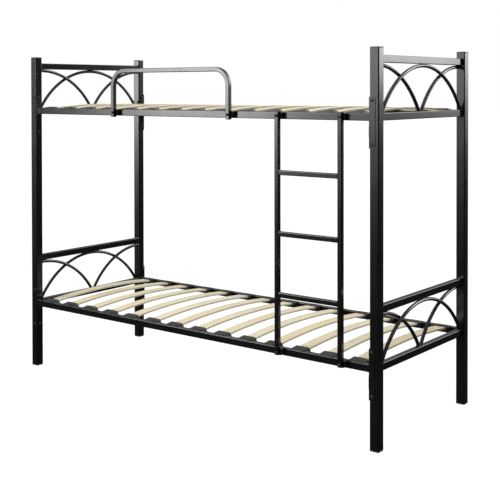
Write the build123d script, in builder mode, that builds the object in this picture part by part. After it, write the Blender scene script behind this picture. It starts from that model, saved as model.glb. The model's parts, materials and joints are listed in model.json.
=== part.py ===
"""Twin metal bunk bed with a bolted ladder, a guard rail and sprung slats. Millimetres, +Z up."""

import os
from math import asin, degrees

from build123d import *

os.makedirs("parts", exist_ok=True)

# frame
LENGTH = 1980  # over the posts, along X
WIDTH = 810  # over the posts, along Y
HEIGHT = 1565  # floor to the top of the post caps
POST = 40  # square post tube
POST_R = 4
POST_WALL = 1.5
CAP_LIP = 6  # plastic lip above and below every post tube
RAIL_H = 30  # side and end rails, height of the section
RAIL_D = 25  # side and end rails, depth of the section
RAIL_R = 2.5
RAIL_WALL = 1.5
DECKS = {"lower": 335, "upper": 1308}  # top of the bed rails
HEAD_RISE = 226  # head rail top above the bed rail top
END_INSET = 12  # end rail behind the outer post face

# arches
ROD_D = 15
ROD_SHIFT = 7.6  # full and half arches pass each other in two planes
ARCH_SPAN = 354  # half width of the full arch where it meets the bed rail

# corner brackets
BRACKET_UP = 63  # above the bed rail top
BRACKET_DOWN = 137  # below the bed rail top
BRACKET_T = 2
BRACKET_LEG = 25
BOLT_Z = (50, -122)  # bracket bolts, from the bed rail top
BOSS_Z = -72
BOSS_H = 52

# bolts
HEAD_D = 14
HEAD_H = 4
SHANK_D = 6
HOLE_D = 6.4

# ladder and guard rail
TUBE = 20
TUBE_R = 3
TUBE_WALL = 1.5
SPACER = 12  # plastic block between a tube and the side rail
STILES = {"left": 536.5, "right": 834.5}
STILE_Z = (312, 1310)
RUNG_Z = (558, 809, 1060)
GUARD_X = (-389.5, 285)
GUARD_TOP = 1487.5  # centre line of the top bar
GUARD_FOOT = 1274
GUARD_BEND = 70

# slats
SLATS = 14
SLAT_PITCH = 135.7
SLAT_W = 53
SLAT_T = 8
SLAT_LOW = -9.5  # slat underside at its ends, from the bed rail top
SLAT_CROWN = 19
SLAT_END = 372  # half length of a slat
HOLDER_W = 62
HOLDER_IN = 28  # reach of the holder's top inside the rail
HOLDER_JAW = 44  # reach of its lower jaw
HOLDER_RISE = 7  # its inner edge above the rail top
HOLDER_LIP = 1.5  # its thin outer edge above the rail top

# positions that follow
x_out = LENGTH / 2
x_in = x_out - POST
y_out = WIDTH / 2
y_in = y_out - POST
ladder_face = y_out + SPACER + TUBE + HEAD_H
back_face = y_out + BRACKET_T + HEAD_H
y_mid = (ladder_face - back_face) / 2  # puts the origin under the middle of the whole bed
bracket_in = x_in - BRACKET_T
tube_y = y_mid - y_out - SPACER - TUBE / 2
slat_x = [(n - (SLATS - 1) / 2) * SLAT_PITCH for n in range(SLATS)]
arch_rise = HEAD_RISE - RAIL_H - ROD_D / 2
arch_radius = (ARCH_SPAN**2 + arch_rise**2) / (2 * arch_rise)
slat_radius = (SLAT_END**2 + SLAT_CROWN**2) / (2 * SLAT_CROWN)
END_SIDES = {"left": -1, "right": 1}
ROW_SIDES = {"front": -1, "back": 1}


def save(solid, name):
    """Labels one sub-part and writes it."""
    solid.label = name
    export_step(solid, f"parts/{name}.step")


def corner(side_x, side_y):
    """Centre of one post."""
    return side_x * (x_out - POST / 2), y_mid + side_y * (y_out - POST / 2)


def bracket_bolts(side_x, side_y):
    """Axis planes of the bolts of one corner, each pointing out of the post, at both decks."""
    face_y = y_mid + side_y * (y_out + BRACKET_T)
    face_x = side_x * bracket_in
    planes = []
    for deck in DECKS.values():
        for z in BOLT_Z:
            on_face = (side_x * (x_in + 12), face_y, deck + z)
            on_side = (face_x, y_mid + side_y * (y_out - 14), deck + z)
            planes.append(Plane(origin=on_face, x_dir=(1, 0, 0), z_dir=(0, side_y, 0)))
            planes.append(Plane(origin=on_side, x_dir=(0, 1, 0), z_dir=(-side_x, 0, 0)))
    return planes


def post(side_x, side_y):
    """Square tube with a hole behind every bracket bolt."""
    x, y = corner(side_x, side_y)
    with BuildPart() as tube:
        with BuildSketch(Plane.XY.offset(CAP_LIP)):
            with Locations((x, y)):
                RectangleRounded(POST, POST, POST_R)
                inner = POST - 2 * POST_WALL
                RectangleRounded(inner, inner, POST_R - POST_WALL, mode=Mode.SUBTRACT)
        extrude(amount=HEIGHT - 2 * CAP_LIP)
        for plane in bracket_bolts(side_x, side_y):
            with Locations(plane):
                Cylinder(HOLE_D / 2, 14, mode=Mode.SUBTRACT)
    return tube.part


def post_plugs(z_lip, z_plug, dome):
    """Four plastic plugs, one per post: a lip as wide as the tube and a body inside it."""
    with BuildPart() as plugs:
        for side_x in (-1, 1):
            for side_y in (-1, 1):
                x, y = corner(side_x, side_y)
                with BuildSketch(Plane.XY.offset(z_lip)):
                    with Locations((x, y)):
                        RectangleRounded(POST, POST, POST_R)
                extrude(amount=CAP_LIP)
                with BuildSketch(Plane.XY.offset(z_plug)):
                    with Locations((x, y)):
                        body = POST - 2 * POST_WALL - 0.4
                        RectangleRounded(body, body, POST_R - POST_WALL)
                extrude(amount=20)
        rim = plugs.edges().filter_by_position(Axis.Z, dome, dome)
        chamfer(rim, 1.5)
    return plugs.part


def end_rail(side_x, z_top):
    """Hollow cross rail between two posts of one end."""
    x = side_x * (x_out - END_INSET - RAIL_D / 2)
    start = Plane(origin=(x, y_mid - y_in, z_top - RAIL_H / 2), x_dir=(1, 0, 0), z_dir=(0, 1, 0))
    with BuildPart() as rail:
        with BuildSketch(start):
            RectangleRounded(RAIL_D, RAIL_H, RAIL_R)
            RectangleRounded(
                RAIL_D - 2 * RAIL_WALL, RAIL_H - 2 * RAIL_WALL, RAIL_R - RAIL_WALL, mode=Mode.SUBTRACT
            )
        extrude(amount=2 * y_in)
    return rail.part


def arch_rod(x, points, floor_z):
    """Round rod bent to one circular arc, cut flat where it meets the bed rail."""
    with BuildPart() as rod:
        with BuildLine():
            path = ThreePointArc(*[(x, y, z) for y, z in points])
        with BuildSketch(Plane(origin=path @ 0, z_dir=path % 0)):
            Circle(ROD_D / 2)
        sweep(path=path)
        split(bisect_by=Plane.XY.offset(floor_z), keep=Keep.TOP)
    return rod.part


def arc_point(y_centre, z_top, offset):
    """Point of the arch circle at a sideways distance from its crown line."""
    drop = arch_radius - (arch_radius**2 - offset**2) ** 0.5
    return y_centre + offset, z_top - drop


def full_arch(side_x, deck):
    """Arch from post to post, its crown welded under the head rail."""
    x = side_x * (x_out - END_INSET - RAIL_D / 2 + ROD_SHIFT)
    crown = deck + arch_rise
    reach = ARCH_SPAN + 6
    points = [arc_point(y_mid, crown, offset) for offset in (-reach, 0, reach)]
    return arch_rod(x, points, deck)


def half_arch(side_x, side_y, deck):
    """Half of the same arch: its crown is welded to the post and its foot to the middle of the rail."""
    x = side_x * (x_out - END_INSET - RAIL_D / 2 - ROD_SHIFT)
    crown = deck + arch_rise
    y_post = y_mid + side_y * y_in
    offsets = (0, -side_y * ARCH_SPAN / 2, -side_y * (ARCH_SPAN + 6))
    points = [arc_point(y_post, crown, offset) for offset in offsets]
    return arch_rod(x, points, deck)


def side_rail(side_y, deck, mounts):
    """Long hollow rail with peg holes along its top and through holes for the bolted tubes."""
    y = y_mid + side_y * (y_out - RAIL_D / 2)
    z = deck - RAIL_H / 2
    start = Plane(origin=(-bracket_in, y, z), x_dir=(0, 1, 0), z_dir=(1, 0, 0))
    with BuildPart() as rail:
        with BuildSketch(start):
            RectangleRounded(RAIL_D, RAIL_H, RAIL_R)
            RectangleRounded(
                RAIL_D - 2 * RAIL_WALL, RAIL_H - 2 * RAIL_WALL, RAIL_R - RAIL_WALL, mode=Mode.SUBTRACT
            )
        extrude(amount=2 * bracket_in)
        with Locations([(x, y, deck) for x in slat_x]):
            Cylinder(4.3, 8, mode=Mode.SUBTRACT)
        if mounts:
            with Locations([Plane(origin=(x, y, z), z_dir=(0, 1, 0)) for x in mounts]):
                Cylinder(HOLE_D / 2, RAIL_D + 4, mode=Mode.SUBTRACT)
    return rail.part


def bracket(side_x, side_y, deck):
    """Steel angle with round ends that wraps the inner corner of a post, with a pressed boss."""
    z_mid = deck + (BRACKET_UP - BRACKET_DOWN) / 2
    tall = BRACKET_UP + BRACKET_DOWN
    face_y = y_mid + side_y * y_out
    edge_x = side_x * bracket_in
    wide = BRACKET_LEG + BRACKET_T
    front = Plane(
        origin=(edge_x + side_x * wide / 2, face_y, z_mid), x_dir=(1, 0, 0), z_dir=(0, side_y, 0)
    )
    side = Plane(
        origin=(side_x * x_in, face_y + side_y * (BRACKET_T - wide / 2), z_mid),
        x_dir=(0, 1, 0),
        z_dir=(-side_x, 0, 0),
    )
    with BuildPart() as angle:
        for plane, sign in ((front, side_x), (side, -side_y)):
            with BuildSketch(plane) as leg:
                Rectangle(wide, tall)
                fillet(leg.vertices().sort_by(Axis((0, 0, 0), plane.x_dir * sign))[-2:], 12)
            extrude(amount=BRACKET_T)
        boss_at = Plane(
            origin=(edge_x, face_y - side_y * 11, deck + BOSS_Z), x_dir=(0, 1, 0), z_dir=(-side_x, 0, 0)
        )
        with BuildSketch(boss_at):
            RectangleRounded(18, BOSS_H, 6)
        extrude(amount=4, taper=20)
        for hole in bracket_bolts(side_x, side_y):
            with Locations(hole):
                Cylinder(HOLE_D / 2, 14, mode=Mode.SUBTRACT)
    return angle.part


def button_bolts(planes, length):
    """Low domed bolts with a hexagon socket, their heads resting on the given planes."""
    with BuildPart() as bolt:
        with BuildSketch(Plane.XZ):
            with BuildLine():
                Polyline((0, HEAD_H), (0, -length), (SHANK_D / 2, -length), (SHANK_D / 2, 0), (HEAD_D / 2, 0))
                Line((HEAD_D / 2, 0), (HEAD_D / 2, 1))
                ThreePointArc((HEAD_D / 2, 1), (5.2, 3.1), (3, HEAD_H))
                Line((3, HEAD_H), (0, HEAD_H))
            make_face()
        revolve(axis=Axis.Z)
        with BuildSketch(Plane.XY.offset(HEAD_H)):
            RegularPolygon(2.5, 6)
        extrude(amount=-2.2, mode=Mode.SUBTRACT)
    return Compound(children=[plane.location * bolt.part.solid() for plane in planes])


def hollow_tube(path_plane, path):
    """Square tube with rounded corners swept along a line."""
    with BuildPart() as tube:
        with BuildSketch(path_plane):
            RectangleRounded(TUBE, TUBE, TUBE_R)
            inner = TUBE - 2 * TUBE_WALL
            RectangleRounded(inner, inner, TUBE_R - TUBE_WALL, mode=Mode.SUBTRACT)
        sweep(path=path)
    return tube.part


def drilled(part, points):
    """A tube with bolt holes along Y."""
    with BuildPart() as tube:
        add(part)
        with Locations([Plane(origin=p, z_dir=(0, 1, 0)) for p in points]):
            Cylinder(HOLE_D / 2, TUBE + 4, mode=Mode.SUBTRACT)
    return tube.part


def rail_centre(deck):
    """Height of the middle of a bed rail."""
    return DECKS[deck] - RAIL_H / 2


def ladder_stile(x):
    """Upright of the ladder with a bolt hole at each bed rail."""
    path = Line((x, tube_y, STILE_Z[0]), (x, tube_y, STILE_Z[1]))
    tube = hollow_tube(Plane(origin=path @ 0, z_dir=(0, 0, 1)), path)
    return drilled(tube, [(x, tube_y, rail_centre(deck)) for deck in DECKS])


def ladder_rung(z):
    """Rung welded between the two uprights."""
    path = Line((STILES["left"] + TUBE / 2, tube_y, z), (STILES["right"] - TUBE / 2, tube_y, z))
    return hollow_tube(Plane(origin=path @ 0, x_dir=(0, 1, 0), z_dir=(1, 0, 0)), path)


def guard_rail():
    """Tube bent to an upside-down U with wide bends."""
    left, right = GUARD_X
    with BuildLine() as line:
        FilletPolyline(
            (left, tube_y, GUARD_FOOT),
            (left, tube_y, GUARD_TOP),
            (right, tube_y, GUARD_TOP),
            (right, tube_y, GUARD_FOOT),
            radius=GUARD_BEND,
        )
    tube = hollow_tube(Plane(origin=(left, tube_y, GUARD_FOOT), z_dir=(0, 0, 1)), line.line)
    return drilled(tube, [(x, tube_y, rail_centre("upper")) for x in GUARD_X])


def spacers(points):
    """Moulded blocks between the bolted tubes and the side rail."""
    front = y_mid - y_out
    with BuildPart() as blocks:
        for x, z in points:
            with BuildSketch(Plane(origin=(x, front, z), x_dir=(1, 0, 0), z_dir=(0, -1, 0))):
                RectangleRounded(TUBE + 2, RAIL_H - 3, 3)
                Circle(HOLE_D / 2, mode=Mode.SUBTRACT)
            extrude(amount=SPACER)
    return blocks.part


def through_bolts(points):
    """Bolts through a tube, its spacer and the side rail."""
    face = tube_y - TUBE / 2
    planes = [Plane(origin=(x, face, z), x_dir=(1, 0, 0), z_dir=(0, -1, 0)) for x, z in points]
    return button_bolts(planes, TUBE + SPACER + RAIL_D + 8)


def cap_nuts(points):
    """Closed nuts behind the side rail."""
    back = y_mid - y_out + RAIL_D
    with BuildPart() as nuts:
        for x, z in points:
            plane = Plane(origin=(x, back, z), x_dir=(1, 0, 0), z_dir=(0, 1, 0))
            with BuildSketch(plane):
                RegularPolygon(5.7, 6, rotation=30)
                Circle(SHANK_D / 2 + 0.05, mode=Mode.SUBTRACT)
            extrude(amount=5)
            with BuildSketch(plane.offset(5)):
                Circle(4.8)
                Circle(SHANK_D / 2 + 0.05, mode=Mode.SUBTRACT)
            extrude(amount=4)
            with BuildSketch(plane.offset(9)):
                Circle(4.8)
            extrude(amount=1.5, taper=30)
    return nuts.part


def tube_plugs(ends):
    """Plastic plugs in open tube ends; each end is a point and the direction out of the tube."""
    with BuildPart() as plugs:
        for x, z, out in ends:
            with BuildSketch(Plane.XY.offset(z)):
                with Locations((x, tube_y)):
                    RectangleRounded(TUBE, TUBE, TUBE_R)
            extrude(amount=out * 2)
            with BuildSketch(Plane.XY.offset(z)):
                with Locations((x, tube_y)):
                    body = TUBE - 2 * TUBE_WALL - 0.4
                    RectangleRounded(body, body, TUBE_R - TUBE_WALL)
            extrude(amount=-out * 4)
    return plugs.part


def slat_under(offset):
    """Height of the slat underside from the bed rail top, at a distance from the bed's middle line."""
    return SLAT_LOW + SLAT_CROWN - slat_radius + (slat_radius**2 - offset**2) ** 0.5


def slats(deck):
    """Bowed plywood slats of one bed."""
    radius = slat_radius
    half = degrees(asin(SLAT_END / radius))
    centre_z = deck + SLAT_LOW + SLAT_CROWN - radius
    with BuildPart() as row:
        with BuildSketch(Plane.YZ.offset(slat_x[0] - SLAT_W / 2)):
            with BuildLine():
                inner = CenterArc((y_mid, centre_z), radius, 90 - half, 2 * half)
                outer = CenterArc((y_mid, centre_z), radius + SLAT_T, 90 - half, 2 * half)
                Line(inner @ 0, outer @ 0)
                Line(inner @ 1, outer @ 1)
            make_face()
        extrude(amount=SLAT_W)
        arrises = row.edges().filter_by(GeomType.CIRCLE)
        fillet(arrises, 1.5)
    return Compound(children=[Pos(x - slat_x[0], 0, 0) * row.part.solid() for x in slat_x])


def slat_holders(side_y, deck):
    """Moulded slat ends of one rail: a flap pegged to the rail top and a pocket on its inner side."""
    outer = y_mid + side_y * (y_out - 5)
    wall = y_mid + side_y * (y_out - RAIL_D - 0.2)
    tip = wall - side_y * HOLDER_IN
    jaw = wall - side_y * HOLDER_JAW
    low = deck - 15
    with BuildPart() as holder:
        with BuildSketch(Plane.YZ.offset(slat_x[0] - HOLDER_W / 2)):
            with BuildLine():
                Polyline(
                    (outer, deck),
                    (wall, deck),
                    (wall, low),
                    (jaw, low + 2),
                    (jaw, low + 5),
                    (tip, deck + HOLDER_RISE),
                    (outer, deck + HOLDER_LIP),
                    close=True,
                )
            make_face()
        extrude(amount=HOLDER_W)
        with Locations((slat_x[0], y_mid + side_y * (y_out - RAIL_D / 2), deck - 5)):
            Cylinder(4, 10)
        with BuildSketch(Plane.YZ.offset(slat_x[0] - SLAT_W / 2 - 0.3)):
            with BuildLine():
                back = wall - side_y * 6
                mouth = jaw - side_y * 5
                Polyline(
                    (back, deck + slat_under(abs(back - y_mid)) - 0.1),
                    (mouth, deck + slat_under(abs(mouth - y_mid)) - 0.1),
                    (mouth, deck + slat_under(abs(mouth - y_mid)) + SLAT_T + 1.5),
                    (back, deck + slat_under(abs(back - y_mid)) + SLAT_T + 1),
                    close=True,
                )
            make_face()
        extrude(amount=SLAT_W + 0.6, mode=Mode.SUBTRACT)
    return Compound(children=[Pos(x - slat_x[0], 0, 0) * holder.part.solid() for x in slat_x])


def main():
    all_bolts = []
    for row, side_y in ROW_SIDES.items():
        for end, side_x in END_SIDES.items():
            save(post(side_x, side_y), f"post_{row}_{end}")
            all_bolts += bracket_bolts(side_x, side_y)
            for level, deck in DECKS.items():
                save(bracket(side_x, side_y, deck), f"{level}_bracket_{row}_{end}")
                save(half_arch(side_x, side_y, deck), f"{level}_{end}_half_arch_{row}")
    save(button_bolts(all_bolts, BRACKET_T + 5), "bracket_bolts")
    save(post_plugs(HEIGHT - CAP_LIP, HEIGHT - CAP_LIP - 20, HEIGHT), "post_caps")
    save(post_plugs(0, CAP_LIP, 0), "post_feet")

    for level, deck in DECKS.items():
        for end, side_x in END_SIDES.items():
            save(end_rail(side_x, deck), f"{level}_{end}_bed_end_rail")
            save(end_rail(side_x, deck + HEAD_RISE), f"{level}_{end}_head_rail")
            save(full_arch(side_x, deck), f"{level}_{end}_full_arch")
        for row, side_y in ROW_SIDES.items():
            mounts = []
            if row == "front":
                mounts = list(STILES.values())
            if row == "front" and level == "upper":
                mounts += GUARD_X
            save(side_rail(side_y, deck, mounts), f"{level}_{row}_side_rail")
            save(slat_holders(side_y, deck), f"{level}_{row}_slat_holders")
        save(slats(deck), f"{level}_slats")

    for side, x in STILES.items():
        save(ladder_stile(x), f"ladder_{side}_stile")
    for n, z in enumerate(RUNG_Z, 1):
        save(ladder_rung(z), f"ladder_rung_{n}")
    ladder_points = [(x, rail_centre(deck)) for x in STILES.values() for deck in DECKS]
    guard_points = [(x, rail_centre("upper")) for x in GUARD_X]
    save(spacers(ladder_points), "ladder_spacers")
    save(through_bolts(ladder_points), "ladder_bolts")
    save(cap_nuts(ladder_points), "ladder_nuts")
    stile_ends = [(x, z, out) for x in STILES.values() for z, out in zip(STILE_Z, (-1, 1))]
    save(tube_plugs(stile_ends), "ladder_end_plugs")
    save(guard_rail(), "guard_rail")
    save(spacers(guard_points), "guard_rail_spacers")
    save(through_bolts(guard_points), "guard_rail_bolts")
    save(cap_nuts(guard_points), "guard_rail_nuts")
    save(tube_plugs([(x, GUARD_FOOT, -1) for x in GUARD_X]), "guard_rail_plugs")


main()
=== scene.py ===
"""Looks of the metal bunk bed: powder coat, moulded plastic, birch slats, welds and a studio."""

import json
from math import asin, cos, pi, radians, sin, sqrt

import bmesh
import bpy
import numpy as np
from bpy.props import FloatProperty, FloatVectorProperty, IntProperty, PointerProperty
from mathutils import Matrix, Vector


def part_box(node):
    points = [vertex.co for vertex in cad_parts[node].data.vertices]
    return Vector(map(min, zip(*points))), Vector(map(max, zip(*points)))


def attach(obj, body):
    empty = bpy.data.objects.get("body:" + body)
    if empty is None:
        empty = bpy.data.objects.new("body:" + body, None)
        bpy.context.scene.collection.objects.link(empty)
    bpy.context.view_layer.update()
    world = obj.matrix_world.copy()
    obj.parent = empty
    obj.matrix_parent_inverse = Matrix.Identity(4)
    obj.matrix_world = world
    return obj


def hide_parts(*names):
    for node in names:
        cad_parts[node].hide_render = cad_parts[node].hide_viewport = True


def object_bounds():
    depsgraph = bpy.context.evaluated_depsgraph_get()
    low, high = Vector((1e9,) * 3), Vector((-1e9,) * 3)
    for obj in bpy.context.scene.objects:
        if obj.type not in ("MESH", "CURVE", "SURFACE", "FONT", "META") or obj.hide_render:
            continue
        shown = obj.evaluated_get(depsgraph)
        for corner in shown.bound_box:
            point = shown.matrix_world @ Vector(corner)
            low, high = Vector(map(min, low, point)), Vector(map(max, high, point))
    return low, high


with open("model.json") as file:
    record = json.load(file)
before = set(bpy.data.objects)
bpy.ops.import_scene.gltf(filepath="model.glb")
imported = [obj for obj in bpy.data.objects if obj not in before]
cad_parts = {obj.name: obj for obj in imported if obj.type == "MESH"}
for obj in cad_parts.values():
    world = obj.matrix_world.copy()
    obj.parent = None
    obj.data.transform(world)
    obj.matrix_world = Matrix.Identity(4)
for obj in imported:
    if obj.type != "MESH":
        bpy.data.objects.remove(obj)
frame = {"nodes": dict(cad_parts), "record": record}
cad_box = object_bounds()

bl_info = {
    "name": "Bunk bed looks",
    "version": (1, 0, 0),
    "blender": (4, 5, 0),
    "location": "3D View > Sidebar > Bunk bed",
    "description": "Dresses the packed bunk bed with its finishes, slats, mouldings and welds",
    "category": "Object",
}

MM = 0.001
BODY = "root"
LEVELS = ("lower", "upper")
ENDS = ("left", "right")
ROWS = {"front": -1, "back": 1}
X_AXIS = np.array((1.0, 0.0, 0.0))
Y_AXIS = np.array((0.0, 1.0, 0.0))
Z_AXIS = np.array((0.0, 0.0, 1.0))
SHARP = radians(38)  # faces that meet at more than this keep a sharp edge
DUST = (0.30, 0.29, 0.27)


# ---------------------------------------------------------------- settings


class BunkSteelSettings(bpy.types.PropertyGroup):
    """Finish of the tubes, rods and brackets, and the size of the welds."""

    coat_colour: FloatVectorProperty(
        name="Coat colour", description="Colour of the powder coat", subtype="COLOR",
        size=3, min=0.0, max=1.0, default=(0.0020, 0.0021, 0.0022),
    )
    coat_roughness: FloatProperty(
        name="Coat roughness", description="Roughness of the satin coat", subtype="FACTOR",
        min=0.0, max=1.0, default=0.18,
    )
    peel_size: FloatProperty(
        name="Orange peel", description="Width of one dimple of the coat", subtype="DISTANCE",
        unit="LENGTH", default=1.6 * MM,
    )
    weld_radius: FloatProperty(
        name="Weld radius", description="Half width of a weld bead", subtype="DISTANCE",
        unit="LENGTH", default=1.7 * MM,
    )
    weld_pitch: FloatProperty(
        name="Weld ripple", description="Length of one ripple of a bead", subtype="DISTANCE",
        unit="LENGTH", default=2.2 * MM,
    )
    arch_span: FloatProperty(
        name="Arch half span", description="Half the width of an arch at its feet",
        subtype="DISTANCE", unit="LENGTH", default=354 * MM,
    )


class BunkSlatSettings(bpy.types.PropertyGroup):
    """Size and colour of the sprung slats and their holders."""

    width: FloatProperty(
        name="Slat width", description="Width of one slat", subtype="DISTANCE", unit="LENGTH",
        default=53 * MM,
    )
    thickness: FloatProperty(
        name="Slat thickness", description="Thickness of one slat", subtype="DISTANCE",
        unit="LENGTH", default=8 * MM,
    )
    arris: FloatProperty(
        name="Arris", description="Radius of the long edges", subtype="DISTANCE", unit="LENGTH",
        default=1.6 * MM,
    )
    count: IntProperty(name="Slats", description="Slats in one bed", min=1, default=14)
    plies: IntProperty(name="Plies", description="Layers of veneer in a slat", min=3, default=7)
    light_colour: FloatVectorProperty(
        name="Pale birch", description="Colour between the growth rings", subtype="COLOR",
        size=3, min=0.0, max=1.0, default=(0.86, 0.80, 0.60),
    )
    dark_colour: FloatVectorProperty(
        name="Ring colour", description="Colour of the growth rings", subtype="COLOR",
        size=3, min=0.0, max=1.0, default=(0.66, 0.57, 0.39),
    )
    flap_edge: FloatProperty(
        name="Flap edge", description="Thickness of a holder's flap at the outside of the rail",
        subtype="DISTANCE", unit="LENGTH", default=1.5 * MM,
    )
    jaw_lead: FloatProperty(
        name="Jaw lead", description="How much further the lower jaw of a holder reaches than its lip",
        subtype="DISTANCE", unit="LENGTH", default=16 * MM,
    )
    holder_drop: FloatProperty(
        name="Holder drop", description="Depth of a holder below the rail top", subtype="DISTANCE",
        unit="LENGTH", default=15 * MM,
    )
    plastic_colour: FloatVectorProperty(
        name="Plastic colour", description="Colour of the moulded plastic", subtype="COLOR",
        size=3, min=0.0, max=1.0, default=(0.010, 0.0105, 0.0105),
    )


class BunkStudioSettings(bpy.types.PropertyGroup):
    """Floor, lights and camera."""

    floor_colour: FloatVectorProperty(
        name="Floor colour", description="Colour of the opal floor", subtype="COLOR",
        size=3, min=0.0, max=1.0, default=(0.10, 0.10, 0.10),
    )
    sky_strength: FloatProperty(
        name="Sky", description="Brightness of the studio above the horizon", default=0.40,
    )
    right_wall: FloatProperty(
        name="Right wall", description="Brightness of the wall of light behind on the right",
        default=7.3,
    )
    left_wall: FloatProperty(
        name="Left wall", description="Brightness of the wall of light in front on the left",
        default=14.2,
    )
    floor_glow: FloatProperty(
        name="Floor glow", description="Light that comes up through the opal floor", default=0.95,
    )
    camera_place: FloatVectorProperty(
        name="Camera", description="Place of the camera", subtype="TRANSLATION", unit="LENGTH",
        size=3, default=(2.8945, -3.8461, 1.4048),
    )
    camera_yaw: FloatProperty(
        name="Yaw", description="Turn of the camera to the left of +Y", subtype="ANGLE",
        unit="ROTATION", default=radians(39.917),
    )
    camera_pitch: FloatProperty(
        name="Pitch", description="Tilt of the camera below the horizon", subtype="ANGLE",
        unit="ROTATION", default=radians(0.855),
    )
    camera_roll: FloatProperty(
        name="Roll", description="Turn of the camera about its own axis", subtype="ANGLE",
        unit="ROTATION", default=radians(-0.132),
    )
    lens: FloatProperty(
        name="Lens", description="Focal length on a 36 mm sensor, in millimetres", default=72.92,
    )
    shift: FloatVectorProperty(
        name="Shift", description="Rise and shift of the lens, in widths of the picture",
        size=2, default=(0.1382, -0.2928),
    )


# ---------------------------------------------------------------- shader maths


class Wire:
    """An output socket that can stand in a Python expression; each operator adds one Math node."""

    def __init__(self, recipe, socket):
        self.recipe = recipe
        self.socket = socket

    def math(self, operation, first, second=0.0):
        return self.recipe.node("Math", {"operation": operation}, {0: first, 1: second})

    def __add__(self, other):
        return self.math("ADD", self, other)

    __radd__ = __add__

    def __sub__(self, other):
        return self.math("SUBTRACT", self, other)

    def __rsub__(self, other):
        return self.math("SUBTRACT", other, self)

    def __mul__(self, other):
        return self.math("MULTIPLY", self, other)

    __rmul__ = __mul__

    def __truediv__(self, other):
        return self.math("DIVIDE", self, other)

    def sine(self):
        return self.math("SINE", self)

    def power(self, exponent):
        return self.math("POWER", self, exponent)


class Recipe:
    """Adds nodes to one node tree."""

    def __init__(self, tree):
        self.tree = tree
        tree.nodes.clear()

    def node(self, kind, settings=None, sockets=None, out=0):
        """Adds one node: its type, its settings, then the values or links of its sockets."""
        made = self.tree.nodes.new("ShaderNode" + kind)
        for key, value in (settings or {}).items():
            setattr(made, key, value)
        for key, value in (sockets or {}).items():
            if isinstance(value, Wire):
                self.tree.links.new(value.socket, made.inputs[key])
            elif made.inputs[key].type == "RGBA" and len(value) == 3:
                made.inputs[key].default_value = (*value, 1.0)
            else:
                made.inputs[key].default_value = value
        return Wire(self, made.outputs[out]) if made.outputs else made

    def place(self, scale=(1.0, 1.0, 1.0)):
        """Object coordinates, stretched."""
        here = self.node("TexCoord", out=3)
        return self.node("Mapping", {"vector_type": "POINT"}, {"Vector": here, "Scale": scale})

    def shifted(self, vector, amount):
        """Sum of two vectors."""
        return self.node("VectorMath", {"operation": "ADD"}, {0: vector, 1: amount})

    def noise(self, vector, scale, detail=2.0, roughness=0.5):
        """Noise of about 0 to 1; scale is the number of lumps in a metre."""
        sockets = {"Vector": vector, "Scale": scale, "Detail": detail, "Roughness": roughness}
        return self.node("TexNoise", {}, sockets)

    def blend(self, factor, first, second):
        """Mix of two colours."""
        return self.node("Mix", {"data_type": "RGBA"}, {0: factor, 6: first, 7: second}, out=2)

    def ease(self, value, low, high):
        """0 below low, 1 above high, smooth between."""
        settings = {"interpolation_type": "SMOOTHSTEP", "clamp": True}
        return self.node("MapRange", settings, {"Value": value, "From Min": low, "From Max": high})

    def upness(self):
        """How far a face looks up, 0 to 1."""
        normal = self.node("NewGeometry", out=1)
        return self.node("SeparateXYZ", {}, {0: normal}, out=2)

    def bump(self, height, strength, distance):
        """Normal of a surface that a height from 0 to 1 lifts by up to the distance."""
        return self.node("Bump", {}, {"Height": height, "Strength": strength, "Distance": distance})


def new_material(name):
    """An empty material and the recipe that fills it."""
    material = bpy.data.materials.new(name)
    material.use_nodes = True
    return material, Recipe(material.node_tree)


def finish_material(recipe, sockets):
    """Ends a material in a Principled shader with these sockets."""
    shader = recipe.node("BsdfPrincipled", {}, sockets)
    recipe.node("OutputMaterial", {}, {"Surface": shader})


def powder_coat(settings, name="black_powder_coat", lift=0.0):
    """Satin black powder coat: orange peel, soft changes of gloss, and a trace of dust on top faces.
    lift adds to the roughness."""
    material, r = new_material(name)
    where = r.place()
    peel = r.noise(where, 1.0 / settings.peel_size, 1.5, 0.45)
    grit = r.noise(where, 2600.0, 1.0)
    cloud = r.noise(where, 7.0, 3.0, 0.55)
    wipe = r.noise(r.place((30.0, 30.0, 3.0)), 1.0, 2.0)
    dust = r.ease(r.upness(), 0.7, 1.0) * r.ease(r.noise(where, 55.0, 4.0, 0.7), 0.45, 0.8)
    coat = settings.coat_colour
    lighter = tuple(c * 1.5 + 0.0006 for c in coat)
    colour = r.blend(r.ease(cloud, 0.35, 0.7) * 0.6, tuple(coat), lighter)
    colour = r.blend(dust * 0.06, colour, DUST)
    gloss_change = (cloud - 0.5) * 0.05 + (wipe - 0.5) * 0.04 + dust * 0.12
    finish_material(r, {
        "Base Color": colour,
        "Roughness": settings.coat_roughness + lift + gloss_change,
        "Normal": r.bump(peel * 0.9 + grit * 0.1, 0.025, 0.12 * MM),
        "IOR": 1.52,
    })
    return material


def moulded_plastic(colour):
    """Black injection moulding with a spark-eroded skin and faint flow marks."""
    material, r = new_material("moulded_plastic")
    where = r.place()
    skin = r.noise(where, 1500.0, 2.0, 0.6)
    flow = r.noise(r.place((18.0, 60.0, 60.0)), 1.0, 3.0, 0.6)
    dust = r.ease(r.upness(), 0.75, 1.0) * r.ease(r.noise(where, 90.0, 4.0, 0.7), 0.42, 0.75)
    base = r.blend(r.ease(flow, 0.3, 0.7), tuple(colour), tuple(c * 1.6 for c in colour))
    base = r.blend(dust * 0.08, base, DUST)
    finish_material(r, {
        "Base Color": base,
        "Roughness": 0.40 + (skin - 0.5) * 0.12 + (flow - 0.5) * 0.10,
        "Normal": r.bump(skin, 0.22, 0.10 * MM),
        "IOR": 1.49,
    })
    return material


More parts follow.
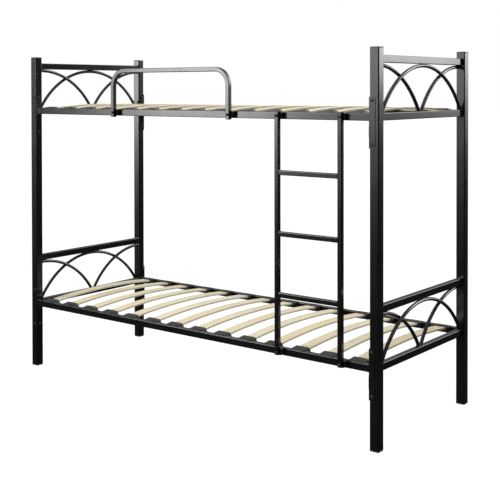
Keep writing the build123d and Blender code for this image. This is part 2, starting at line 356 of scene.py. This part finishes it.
def black_zinc():
    """Blackened steel of the bolts and nuts, with turning marks and brighter rubbed spots."""
    material, r = new_material("black_zinc")
    where = r.place()
    spots = r.ease(r.noise(where, 420.0, 3.0, 0.6), 0.55, 0.75)
    scratch = r.noise(r.place((300.0, 300.0, 2400.0)), 1.0, 2.0)
    finish_material(r, {
        "Base Color": r.blend(spots * 0.5, (0.022, 0.022, 0.024), (0.075, 0.073, 0.070)),
        "Metallic": 0.35 + spots * 0.3,
        "Roughness": 0.30 + (scratch - 0.5) * 0.14 - spots * 0.06,
        "Normal": r.bump(scratch, 0.12, 0.08 * MM),
    })
    return material


def birch(settings):
    """Pale rotary-cut birch: rings drawn out along the slat, fine fibres, flecks, and plies on its edges,
    with the whole edge painted darker as shade.
    """
    material, r = new_material("birch_plywood")
    tone = r.node("Attribute", {"attribute_name": "slat_tone"}, out=2)
    depth = r.node("Attribute", {"attribute_name": "ply_depth"}, out=2)
    edge = r.node("Attribute", {"attribute_name": "slat_edge"}, out=2)
    shift = r.node("CombineXYZ", {}, {0: tone * 3.1, 1: tone * 7.7, 2: tone * 1.3})
    rings = r.noise(r.shifted(r.place((26.0, 1.7, 26.0)), shift), 1.0, 4.0, 0.55)
    bands = (rings * 34.0).sine() * 0.5 + 0.5
    fibre = r.noise(r.shifted(r.place((1500.0, 26.0, 1500.0)), shift), 1.0, 3.0, 0.6)
    pores = r.ease(r.noise(r.shifted(r.place((800.0, 90.0, 800.0)), shift), 1.0, 2.0), 0.60, 0.74)
    cloud = r.noise(r.shifted(r.place((7.0, 3.0, 7.0)), shift), 1.0, 2.0)
    pale, dark = tuple(settings.light_colour), tuple(settings.dark_colour)
    face = r.blend(bands.power(2.0) * 0.40 + (fibre - 0.5) * 0.5 + 0.06, pale, dark)
    warm = tuple(c * k for c, k in zip(pale, (0.94, 0.84, 0.70)))
    face = r.blend(r.ease(tone, 0.1, 0.9) * 0.55 + (cloud - 0.5) * 0.5, face, warm)
    face = r.blend(pores * 0.35, face, tuple(c * 0.45 for c in dark))
    layer = (depth * (pi * settings.plies)).sine()
    cross = r.ease(layer * layer, 0.25, 0.75)
    glue = 1.0 - r.ease(layer * layer, 0.0, 0.10)
    other_layer = r.ease((depth * (pi * settings.plies * 0.5)).sine(), 0.05, 0.6)
    # Edge colour: real plies and glue lines, and the whole edge painted darker than the face as shade on the
    # slats' sides.
    plies_and_painted_shade = r.blend(other_layer, tuple(c * 0.56 for c in pale), tuple(c * 0.40 for c in dark))
    plies_and_painted_shade = r.blend(glue * 0.5, plies_and_painted_shade, tuple(c * 0.30 for c in dark))
    plies_and_painted_shade = r.blend((fibre - 0.5) * 0.6 + cross * 0.05, plies_and_painted_shade, tuple(c * 0.5 for c in dark))
    finish_material(r, {
        "Base Color": r.blend(edge, face, plies_and_painted_shade),
        "Roughness": 0.46 + (fibre - 0.5) * 0.25 + pores * 0.15 + edge * 0.18,
        "Coat Weight": 0.12 - edge * 0.10,
        "Normal": r.bump(fibre * 0.6 + bands * 0.25 - pores * 0.4, 0.16, 0.12 * MM),
        "Coat Roughness": 0.3,
    })
    return material


# ---------------------------------------------------------------- surfaces


def rounded_rectangle(half_a, half_b, radius, steps):
    """Outline of rounded rectangles: on each corner, its centre plus radius times (cosine, sine) of a
    quarter turn. half_a, half_b and radius are arrays of one value per rectangle; the result is
    (rectangles, points, 2)."""
    turn = np.linspace(0.0, pi / 2, steps)
    angle = (turn[None, :] + np.arange(4)[:, None] * pi / 2).ravel()
    side_a = np.repeat((1.0, -1.0, -1.0, 1.0), steps)
    side_b = np.repeat((1.0, 1.0, -1.0, -1.0), steps)
    a = side_a * (half_a - radius)[:, None] + radius[:, None] * np.cos(angle)
    b = side_b * (half_b - radius)[:, None] + radius[:, None] * np.sin(angle)
    return np.stack((a, b), axis=-1)


def loft(centres, axis_a, axis_b, half_a, half_b, radius, steps=5):
    """Rings of a closed skin through rounded rectangles: centre + a * axis_a + b * axis_b. Rings of no
    size close its ends. Returns the points as (rings, around, 3) and the outlines."""
    centres = np.asarray(centres, float)
    sizes = (half_a, half_b, radius)
    half_a, half_b, radius = (np.broadcast_to(v, len(centres)).astype(float) for v in sizes)
    radius = np.minimum(radius, np.minimum(half_a, half_b))
    outline = rounded_rectangle(half_a, half_b, radius, steps)
    axis_a = np.broadcast_to(axis_a, centres.shape)[:, None, :]
    axis_b = np.broadcast_to(axis_b, centres.shape)[:, None, :]
    return centres[:, None, :] + outline[..., :1] * axis_a + outline[..., 1:] * axis_b, outline


def bead(path, radius, pitch, around=8):
    """Weld bead along a closed loop: a ring of points round each point of the loop, in the plane square
    to the loop there. The radius goes from 0.86 to 1.14 of its value with |sine|, once in every pitch."""
    path = np.asarray(path, float)
    ahead = np.roll(path, -1, axis=0) - np.roll(path, 1, axis=0)
    ahead /= np.linalg.norm(ahead, axis=1)[:, None]
    outward = path - path.mean(axis=0)
    outward -= (outward * ahead).sum(axis=1)[:, None] * ahead
    outward /= np.linalg.norm(outward, axis=1)[:, None]
    side = np.cross(ahead, outward)
    steps = np.linalg.norm(np.roll(path, -1, axis=0) - path, axis=1)
    length = steps.sum()
    ripples = max(3, round(length / pitch))
    run = np.concatenate(((0.0,), np.cumsum(steps)[:-1])) / length
    swell = radius * (0.86 + 0.28 * np.abs(np.sin(pi * ripples * run)))
    angle = np.linspace(0.0, 2 * pi, around, endpoint=False)
    ring = np.cos(angle)[None, :, None] * outward[:, None, :]
    ring = ring + np.sin(angle)[None, :, None] * side[:, None, :]
    rings = path[:, None, :] + swell[:, None, None] * ring
    return np.concatenate((rings, rings[:1]))


def loop(centre, axis_a, axis_b, half_a, half_b, radius, spacing=0.5 * MM):
    """Closed rounded-rectangle path with evenly spaced points."""
    outline = rounded_rectangle(np.array((half_a,)), np.array((half_b,)), np.array((radius,)), 9)[0]
    closed = np.concatenate((outline, outline[:1]))
    run = np.concatenate(((0.0,), np.cumsum(np.linalg.norm(np.diff(closed, axis=0), axis=1))))
    count = max(16, int(run[-1] / spacing))
    at = np.linspace(0.0, run[-1], count, endpoint=False)
    a, b = (np.interp(at, run, closed[:, k]) for k in (0, 1))
    return np.asarray(centre) + a[:, None] * axis_a + b[:, None] * axis_b


def skin(rings):
    """Quads between neighbouring rings: each point joins the next one in its ring and in the next ring."""
    rows, around = rings.shape[:2]
    index = np.arange(rows * around).reshape(rows, around)
    here, there = index[:-1], index[1:]
    quads = (here, np.roll(here, -1, axis=1), np.roll(there, -1, axis=1), there)
    return np.stack(quads, axis=-1).reshape(-1, 4)


def make_piece(name, shells, material, replaced=(), attributes=None):
    """One mesh from several closed skins, shaded smooth but for sharp edges, riding on the frame.
    attributes give each point a value: a name, and one array for each skin."""
    points = np.concatenate([s.reshape(-1, 3) for s in shells])
    starts = np.cumsum([0] + [s.shape[0] * s.shape[1] for s in shells[:-1]])
    faces = np.concatenate([skin(s) + start for s, start in zip(shells, starts)])
    mesh = bpy.data.meshes.new(name)
    mesh.from_pydata(points, [], faces)
    for key, values in (attributes or {}).items():
        layer = mesh.attributes.new(key, "FLOAT", "POINT")
        layer.data.foreach_set("value", np.concatenate([v.ravel() for v in values]).astype(np.float32))
    work = bmesh.new()
    work.from_mesh(mesh)
    bmesh.ops.remove_doubles(work, verts=work.verts, dist=1e-6)
    bmesh.ops.dissolve_degenerate(work, edges=work.edges, dist=1e-7)
    bmesh.ops.recalc_face_normals(work, faces=work.faces)
    work.to_mesh(mesh)
    work.free()
    mesh.shade_smooth()
    mesh.set_sharp_from_angle(angle=SHARP)
    mesh.materials.append(material)
    piece = bpy.data.objects.new(name, mesh)
    bpy.context.scene.collection.objects.link(piece)
    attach(piece, BODY)
    if replaced:
        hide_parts(*replaced)


def box_of(node):
    """Lowest and highest corner of a node as arrays."""
    low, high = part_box(node)
    return np.array(low), np.array(high)


def dress(nodes, material):
    """Gives CAD nodes a material."""
    for name in nodes:
        mesh = frame["nodes"][name].data
        mesh.materials.clear()
        mesh.materials.append(material)


def steel_nodes():
    """Names of the powder-coated nodes, as the record lists them."""
    return [
        part["node"] for part in frame["record"]["subparts"]
        if part["material_slot"] == "black_powder_coat"
    ]


# ---------------------------------------------------------------- operators


class BUNK_OT_coat_steel(bpy.types.Operator):
    """Powder-coats the posts, rails, arches, brackets, ladder and guard rail"""

    bl_idname = "bunk.coat_steel"
    bl_label = "Coat the steel"

    def execute(self, context):
        dress(steel_nodes(), powder_coat(context.scene.bunk_steel))
        return {"FINISHED"}


class BUNK_OT_fit_fasteners(bpy.types.Operator):
    """Blackens the bolts and nuts"""

    bl_idname = "bunk.fit_fasteners"
    bl_label = "Fit the fasteners"

    def execute(self, context):
        nodes = ("bracket_bolts", "ladder_bolts", "ladder_nuts", "guard_rail_bolts", "guard_rail_nuts")
        dress(nodes, black_zinc())
        return {"FINISHED"}


def slat_shell(x, low, high, settings, bow):
    """One slat: rounded rectangles along a circular arc in the plane of Y and Z. The arc passes through
    the slat's two ends and its crown; bow moves the crown. The end rings shrink to close the ends.
    Returns the rings, the depth of each point in the plies, and 1 on edges or 0 on faces."""
    thick, rings_along = settings.thickness, 61
    half = (high[1] - low[1]) / 2
    middle = (high[1] + low[1]) / 2
    rise = high[2] - low[2] - thick + bow
    arc_radius = (half**2 + rise**2) / (2 * rise)
    reach = asin(half / arc_radius)
    ease = np.array((0.0, 0.0, 0.4, 1.0)) * settings.arris
    tips = np.array((0.0, 0.25, 0.7, 1.0)) * settings.arris / arc_radius
    along = np.linspace(-reach + tips[-1], reach - tips[-1], rings_along)
    angle = np.concatenate((-reach + tips[:-1], along, reach - tips[-2::-1]))
    inset = settings.arris - np.concatenate((ease[:-1], np.full(rings_along, ease[-1]), ease[-2::-1]))
    inset[0] = inset[-1] = 1.0
    half_a = np.maximum(settings.width / 2 - inset, 0.0)
    half_b = np.maximum(thick / 2 - inset, 0.0)
    up = np.stack((np.zeros_like(angle), np.sin(angle), np.cos(angle)), axis=1)
    hub = np.array((x, middle, low[2] + thick / 2 + rise - arc_radius))
    rings, outline = loft(hub + arc_radius * up, X_AXIS, up, half_a, half_b, settings.arris, 5)
    depth = outline[..., 1] / thick + 0.5
    edge = (np.abs(outline[..., 0]) > settings.width / 2 - 0.4 * settings.arris).astype(float)
    edge[[0, 1, -2, -1]] = 1.0
    return rings, depth, edge


class BUNK_OT_lay_slats(bpy.types.Operator):
    """Lays bowed birch slats with rounded long edges on both beds"""

    bl_idname = "bunk.lay_slats"
    bl_label = "Lay the slats"

    most_flat = 1.5 * MM  # how much less bow a slat may have than the fullest one

    def execute(self, context):
        settings = context.scene.bunk_slats
        material = birch(settings)
        draw = np.random.default_rng(14)
        for level in LEVELS:
            low, high = box_of(f"{level}_slats")
            first = low[0] + settings.width / 2
            last = high[0] - settings.width / 2
            shells, depths, edges, tones = [], [], [], []
            for x in np.linspace(first, last, settings.count):
                bow = draw.uniform(-self.most_flat, 0.0)
                rings, depth, edge = slat_shell(x, low, high, settings, bow)
                shells.append(rings)
                depths.append(depth)
                edges.append(edge)
                tones.append(np.full(depth.shape, draw.uniform(0.0, 1.0)))
            attributes = {"ply_depth": depths, "slat_edge": edges, "slat_tone": tones}
            make_piece(
                f"{level}_sprung_slats", shells, material, [f"{level}_slats"], attributes
            )
        return {"FINISHED"}


def holder_shell(x, side, box, deck, wall, pocket_z, settings):
    """One slat holder as a loft along Y: from the bottom of its pocket out to the mouth, round the lip,
    back along the outside to the rail and over it as a flap. The top falls in a straight line from the
    lip to the thin edge of the flap. The lower jaw reaches further than the lip: each point moves out by
    the jaw's lead times its share of the depth below the lip times its share of the way to the mouth."""
    low, high = box
    half_width = (high[0] - low[0]) / 2
    jaw, outer = (low[1], high[1]) if side > 0 else (high[1], low[1])
    tip = jaw + side * settings.jaw_lead
    reach, span = abs(wall - tip), abs(outer - tip)
    pocket_a, pocket_b = settings.width / 2 + 0.3 * MM, settings.thickness / 2 + 1.4 * MM
    bottom = reach - 6 * MM
    stations = [  # way from the lip, middle height, half width, half height, corner radius
        (bottom, pocket_z, 0.0, 0.0, 0.0),
        (bottom, pocket_z, pocket_a, pocket_b, 1.0 * MM),
        (5.0 * MM, pocket_z, pocket_a, pocket_b, 1.0 * MM),
        (0.8 * MM, pocket_z, pocket_a + 0.3 * MM, pocket_b + 0.5 * MM, 1.4 * MM),
        (0.2 * MM, pocket_z, pocket_a + 0.7 * MM, pocket_b + 1.0 * MM, 1.8 * MM),
    ]
    outside = (  # way from the lip, inset of the soft edge
        (0.0, 1.0 * MM), (0.3 * MM, 0.35 * MM), (1.0 * MM, 0.0), (reach - 0.1 * MM, 0.0), (reach, 0.0),
        (span - 0.8 * MM, 0.0), (span - 0.2 * MM, 0.35 * MM), (span, 1.0 * MM),
    )
    fall, draft = high[2] - deck - settings.flap_edge, 1.5 * MM
    for run, inset in outside:
        top = high[2] - fall * run / span - inset
        foot = deck if run >= reach else low[2] + draft * (1.0 - run / reach) + inset
        half_z = max((top - foot) / 2, 0.05 * MM)
        stations.append((run, (top + foot) / 2, half_width - inset, half_z, 1.2 * MM))
    stations.append((span, deck + 0.2 * MM, 0.0, 0.0, 0.0))
    run, z, a, b, corner = (np.array(v) for v in zip(*stations))
    centres = np.stack((np.full_like(run, x), tip + side * run, z), axis=1)
    rings = loft(centres, X_AXIS, Z_AXIS, a, b, corner, 5)[0]
    below = np.clip((high[2] - rings[..., 2]) / (high[2] - low[2]), 0.0, 1.0)
    mouthward = np.clip(1.0 - run / reach, 0.0, 1.0)[:, None]
    rings[..., 1] -= side * settings.jaw_lead * below * mouthward
    return rings


class BUNK_OT_mould_holders(bpy.types.Operator):
    """Moulds the slat holders along every side rail"""

    bl_idname = "bunk.mould_holders"
    bl_label = "Mould the slat holders"

    pocket_rise = 1.0 * MM  # middle of a pocket above the middle of the slat's end

    def execute(self, context):
        settings = context.scene.bunk_slats
        material = context.scene.bunk_plastic
        for level in LEVELS:
            slat_low, slat_high = box_of(f"{level}_slats")
            pocket_z = slat_low[2] + settings.thickness / 2 + self.pocket_rise
            centres = np.linspace(
                slat_low[0] + settings.width / 2, slat_high[0] - settings.width / 2, settings.count
            )
            for row, side in ROWS.items():
                node = f"{level}_{row}_slat_holders"
                low, high = box_of(node)
                rail_low, rail_high = box_of(f"{level}_{row}_side_rail")
                wall = rail_low[1] if side > 0 else rail_high[1]
                half_width = (high[0] - low[0] - (centres[-1] - centres[0])) / 2
                shells = []
                for x in centres:
                    box = low.copy(), high.copy()
                    box[0][0], box[1][0] = x - half_width, x + half_width
                    box[0][2] = max(low[2], rail_high[2] - settings.holder_drop)
                    shells.append(holder_shell(x, side, box, rail_high[2], wall, pocket_z, settings))
                make_piece(
                    f"{level}_{row}_holder_mouldings", shells, material, [node]
                )
        return {"FINISHED"}


def plug_shell(x, y, z_face, out, half, lip, corner, dome):
    """One moulded plug: rounded squares from inside the tube, out under the lip, round its soft edge and
    up to a slightly domed top."""
    inner, depth = half - 1.7 * MM, 14 * MM
    rings = (  # height over the end of the tube, half width
        (-depth, 0.0), (-depth, inner - 0.8 * MM), (0.8 * MM - depth, inner), (0.0, inner),
        (0.0, half - 0.4 * MM), (0.5 * MM, half), (lip * 0.55, half), (lip * 0.8, half - dome * 0.3),
        (lip * 0.95, half - dome), (lip, 0.0),
    )
    z, size = (np.array(v) for v in zip(*rings))
    centres = np.stack((np.full_like(z, x), np.full_like(z, y), z_face + out * z), axis=1)
    return loft(centres, X_AXIS, Y_AXIS, size, size, corner, 7)[0]


class BUNK_OT_mould_end_pieces(bpy.types.Operator):
    """Moulds the post caps, the post feet and the plugs of the open tubes"""

    bl_idname = "bunk.mould_end_pieces"
    bl_label = "Mould caps, feet and plugs"

    small_plug = (2 * MM, 3 * MM, 0.8 * MM)  # lip, corner radius and dome of a plug in a thin tube

    def execute(self, context):
        material = context.scene.bunk_plastic
        posts = [box_of(f"post_{row}_{end}") for row in ROWS for end in ENDS]
        for node, name, out, dome in (
            ("post_caps", "soft_edged_post_caps", 1, 1.6 * MM),
            ("post_feet", "soft_edged_post_feet", -1, 1.2 * MM),
        ):
            shells = []
            for low, high in posts:
                x, y = (low[:2] + high[:2]) / 2
                half = (high[0] - low[0]) / 2
                face = high[2] if out > 0 else low[2]
                lip = box_of(node)[1][2] - face if out > 0 else face - box_of(node)[0][2]
                shells.append(plug_shell(x, y, face, out, half, lip, 4 * MM, dome))
            make_piece(name, shells, material, [node])
        lip, corner, dome = self.small_plug
        shells = []
        for tube in ("ladder_left_stile", "ladder_right_stile"):
            low, high = box_of(tube)
            x, y = (low[:2] + high[:2]) / 2
            half = (high[0] - low[0]) / 2
            for face, out in ((low[2], -1), (high[2], 1)):
                shells.append(plug_shell(x, y, face, out, half, lip, corner, dome))
        make_piece("soft_edged_ladder_end_plugs", shells, material, ["ladder_end_plugs"])
        low, high = box_of("guard_rail_plugs")
        half = (high[1] - low[1]) / 2
        face = box_of("guard_rail")[0][2]
        shells = [
            plug_shell(x, (low[1] + high[1]) / 2, face, -1, half, lip, corner, dome)
            for x in (low[0] + half, high[0] - half)
        ]
        make_piece("soft_edged_guard_rail_plugs", shells, material, ["guard_rail_plugs"])
        dress(("ladder_spacers", "guard_rail_spacers"), material)
        return {"FINISHED"}


def arch_radius(rise, span):
    """Radius of the circle through an arch's crown and feet."""
    return (span**2 + rise**2) / (2 * rise)


def end_frame_beads(level, end, settings):
    """Beads of one end frame: rails to posts, arch feet on the bed rail, arch crowns, rod crossings."""
    size, pitch = settings.weld_radius, settings.weld_pitch
    clear = 0.3 * MM  # middle of a bead outside the rod it goes round
    loops = []
    for rail in ("bed_end_rail", "head_rail"):
        low, high = box_of(f"{level}_{end}_{rail}")
        middle = (low + high) / 2
        half = (high - low) / 2
        for y in (low[1], high[1]):
            centre = (middle[0], y, middle[2])
            loops.append(loop(centre, X_AXIS, Z_AXIS, half[0] + 0.2 * MM, half[2] + 0.2 * MM, 2.5 * MM))
    deck = box_of(f"{level}_{end}_bed_end_rail")[1][2]
    full_low, full_high = box_of(f"{level}_{end}_full_arch")
    rod = (full_high[0] - full_low[0]) / 2
    crown = full_high[2] - rod
    radius = arch_radius(crown - deck, settings.arch_span)
    slope = settings.arch_span / radius
    foot = rod / slope
    full_x = (full_low[0] + full_high[0]) / 2
    y_mid = (full_low[1] + full_high[1]) / 2
    for side in ROWS.values():
        centre = (full_x, y_mid + side * settings.arch_span, deck)
        loops.append(loop(centre, X_AXIS, Y_AXIS, rod + clear, foot + clear, rod))
    crown_weld = (3.2 * MM, 15 * MM, 3.1 * MM)
    loops.append(loop((full_x, y_mid, full_high[2]), X_AXIS, Y_AXIS, *crown_weld))
    for row, side in ROWS.items():
        low, high = box_of(f"{level}_{end}_half_arch_{row}")
        half_x = (low[0] + high[0]) / 2
        post_y = box_of(f"post_{row}_{end}")[0 if side > 0 else 1][1]
        loops.append(loop((half_x, post_y, crown), X_AXIS, Z_AXIS, rod + clear, rod + clear, rod))
        centre = (half_x, post_y - side * settings.arch_span, deck)
        loops.append(loop(centre, X_AXIS, Y_AXIS, rod + clear, foot + clear, rod))
        offset = (post_y - y_mid) / 2
        drop = radius - sqrt(radius**2 - offset**2)
        centre = ((half_x + full_x) / 2, y_mid + offset, crown - drop)
        loops.append(loop(centre, Y_AXIS, Z_AXIS, 3.6 * MM, 3.6 * MM, 3.5 * MM))
    return [bead(path, size, pitch) for path in loops]


class BUNK_OT_run_welds(bpy.types.Operator):
    """Runs the weld beads of the end frames, the side rails and the ladder"""

    bl_idname = "bunk.run_welds"
    bl_label = "Run the welds"

    def execute(self, context):
        settings = context.scene.bunk_steel
        material = powder_coat(settings, "coated_weld", 0.06)
        size, pitch = settings.weld_radius, settings.weld_pitch
        for level in LEVELS:
            for end in ENDS:
                beads = end_frame_beads(level, end, settings)
                make_piece(f"{level}_{end}_end_welds", beads, material)
            beads = []
            for row in ROWS:
                low, high = box_of(f"{level}_{row}_side_rail")
                middle, half = (low + high) / 2, (high - low) / 2
                for x in (low[0], high[0]):
                    centre = (x, middle[1], middle[2])
                    path = loop(centre, Y_AXIS, Z_AXIS, half[1] - 0.2 * MM, half[2] + 0.2 * MM, 2.5 * MM)
                    beads.append(bead(path, size * 0.9, pitch))
            make_piece(f"{level}_side_rail_welds", beads, material)
        beads = []
        for n in (1, 2, 3):
            low, high = box_of(f"ladder_rung_{n}")
            middle, half = (low + high) / 2, (high - low) / 2
            for x in (low[0], high[0]):
                centre = (x, middle[1], middle[2])
                path = loop(centre, Y_AXIS, Z_AXIS, half[1] - 0.6 * MM, half[2] + 0.1 * MM, 2.8 * MM)
                beads.append(bead(path, size * 0.8, pitch))
        make_piece("ladder_rung_welds", beads, material)
        return {"FINISHED"}


def studio_air(settings):
    """World light: plain white to the camera. Elsewhere a soft sky above the horizon, dim below it, with
    bright walls of light far off. A wall is a product of eased steps in the cosine of the angle round
    the horizon from its middle and in the height of the direction."""
    world = bpy.data.worlds.new("studio_air")
    world.use_nodes = True
    r = Recipe(world.node_tree)
    direction = r.node("TexCoord")
    x, y, z = (r.node("SeparateXYZ", {}, {0: direction}, out=k) for k in range(3))
    level = (x * x + y * y + 1e-6).power(0.5)

    def wall(azimuth, half_width, soft, bottom, rise, top):
        """All in degrees: the middle of the wall from +Y to +X, its half width, the width of its soft
        sides, its lower edge, the height of the soft lower edge, and its upper edge."""
        turn, width = radians(azimuth), radians(half_width)
        facing = (x * sin(turn) + y * cos(turn)) / level
        sides = r.ease(facing, cos(width + radians(soft)), cos(width))
        low, soft_low, high = sin(radians(bottom)), sin(radians(rise)), sin(radians(top))
        return sides * r.ease(z, low, low + soft_low) * (1.0 - r.ease(z, high, high + 0.2))

    right, left = settings.right_wall, settings.left_wall
    white = (1.0, 1.0, 1.0)
    glow = r.ease(z, 0.08, 0.30) * settings.sky_strength + 0.03
    glow = glow + wall(32.0, 4.5, 5.0, bottom=0.1, rise=1.5, top=36.0) * right
    glow = glow + wall(18.0, 5.0, 6.0, bottom=-4.5, rise=5.5, top=36.0) * (right * 0.30)
    glow = glow + wall(219.2, 2.2, 3.6, bottom=-5.0, rise=5.0, top=28.0) * left
    glow = glow + wall(208.0, 7.0, 6.0, bottom=-5.5, rise=7.5, top=32.0) * (left * 0.25)
    seen = r.node("LightPath")
    light = r.node("Background", {}, {"Color": white, "Strength": glow})
    plain = r.node("Background", {}, {"Color": white, "Strength": 1.0})
    both = r.node("MixShader", {}, {0: seen, 1: light, 2: plain})
    r.node("OutputWorld", {}, {"Surface": both})
    return world


def soft_light(name, place, target, size, power):
    """One rectangular softbox that looks at a target."""
    lamp = bpy.data.lights.new(name, "AREA")
    lamp.shape = "RECTANGLE"
    lamp.size, lamp.size_y = size
    lamp.energy = power
    box = bpy.data.objects.new(name, lamp)
    box.location = place
    box.rotation_euler = (Vector(target) - Vector(place)).to_track_quat("-Z", "Y").to_euler()
    bpy.context.scene.collection.objects.link(box)


def opal_floor(settings):
    """Opal floor lit from below, with a faint mottle."""
    colour = settings.floor_colour
    material, r = new_material("pale_floor")
    mottle = r.noise(r.place(), 0.8, 2.0)
    finish_material(r, {
        "Base Color": r.blend(mottle, tuple(colour), tuple(c * 0.985 for c in colour)),
        "Roughness": 0.9,
        "Emission Color": (1.0, 1.0, 1.0),
        "Emission Strength": settings.floor_glow,
    })
    return material


class BUNK_OT_build_studio(bpy.types.Operator):
    """Builds the opal floor, the soft lights and the camera"""

    bl_idname = "bunk.build_studio"
    bl_label = "Build the studio"

    floor_half = 60.0  # metres

    def execute(self, context):
        scene = context.scene
        settings = scene.bunk_studio
        mesh = bpy.data.meshes.new("floor")
        corners = np.array(((-1, -1, 0), (1, -1, 0), (1, 1, 0), (-1, 1, 0))) * self.floor_half
        mesh.from_pydata(corners, [], [(0, 1, 2, 3)])
        mesh.materials.append(opal_floor(settings))
        floor = bpy.data.objects.new("floor", mesh)
        floor.visible_glossy = False
        scene.collection.objects.link(floor)
        scene.world = studio_air(settings)
        scene.view_settings.view_transform = "Standard"
        low, high = (np.array(c) for c in cad_box)
        middle = tuple((low + high) / 2)
        soft_light("key_softbox", (-3.0, -3.0, 4.4), middle, size=(2.2, 2.2), power=55.0)
        soft_light("top_softbox", (0.6, 0.4, 4.2), middle, size=(4.0, 3.0), power=50.0)
        self.place_camera(scene, settings)
        return {"FINISHED"}

    @staticmethod
    def place_camera(scene, settings):
        """Camera axes from yaw, pitch and roll."""
        yaw, pitch, roll = settings.camera_yaw, settings.camera_pitch, settings.camera_roll
        level = Vector((-sin(yaw), cos(yaw), 0.0))
        across = Vector((cos(yaw), sin(yaw), 0.0))
        up = Vector((0.0, 0.0, 1.0))
        ahead = level * cos(pitch) - up * sin(pitch)
        rise = level * sin(pitch) + up * cos(pitch)
        right = across * cos(roll) + rise * sin(roll)
        top = rise * cos(roll) - across * sin(roll)
        lens = bpy.data.cameras.new("camera")
        lens.sensor_width = 36.0
        lens.lens = settings.lens
        lens.shift_x, lens.shift_y = settings.shift
        camera = bpy.data.objects.new("camera", lens)
        turn = Matrix((right, top, -ahead)).transposed().to_4x4()
        camera.matrix_world = Matrix.Translation(settings.camera_place) @ turn
        scene.collection.objects.link(camera)
        scene.camera = camera


STEPS = (
    BUNK_OT_build_studio, BUNK_OT_coat_steel, BUNK_OT_fit_fasteners, BUNK_OT_lay_slats,
    BUNK_OT_mould_holders, BUNK_OT_mould_end_pieces, BUNK_OT_run_welds,
)


class BUNK_PT_panel(bpy.types.Panel):
    """Buttons of the bunk bed"""

    bl_label = "Bunk bed"
    bl_idname = "BUNK_PT_panel"
    bl_space_type = "VIEW_3D"
    bl_region_type = "UI"
    bl_category = "Bunk bed"

    def draw(self, context):
        for step in STEPS:
            self.layout.operator(step.bl_idname)
        for group in ("bunk_steel", "bunk_slats", "bunk_studio"):
            settings = getattr(context.scene, group)
            box = self.layout.box()
            for key in settings.__annotations__:
                box.prop(settings, key)


CLASSES = (BunkSteelSettings, BunkSlatSettings, BunkStudioSettings, *STEPS, BUNK_PT_panel)


def register():
    for each in CLASSES:
        bpy.utils.register_class(each)
    bpy.types.Scene.bunk_steel = PointerProperty(type=BunkSteelSettings)
    bpy.types.Scene.bunk_slats = PointerProperty(type=BunkSlatSettings)
    bpy.types.Scene.bunk_studio = PointerProperty(type=BunkStudioSettings)
    bpy.types.Scene.bunk_plastic = PointerProperty(type=bpy.types.Material)


def unregister():
    for key in ("bunk_plastic", "bunk_studio", "bunk_slats", "bunk_steel"):
        delattr(bpy.types.Scene, key)
    for each in reversed(CLASSES):
        bpy.utils.unregister_class(each)


def main():
    register()
    scene = bpy.context.scene
    scene.bunk_plastic = moulded_plastic(scene.bunk_slats.plastic_colour)
    bpy.ops.bunk.build_studio()
    bpy.ops.bunk.coat_steel()
    bpy.ops.bunk.fit_fasteners()
    bpy.ops.bunk.lay_slats()
    bpy.ops.bunk.mould_holders()
    bpy.ops.bunk.mould_end_pieces()
    bpy.ops.bunk.run_welds()


if __name__ == "__main__":
    main()
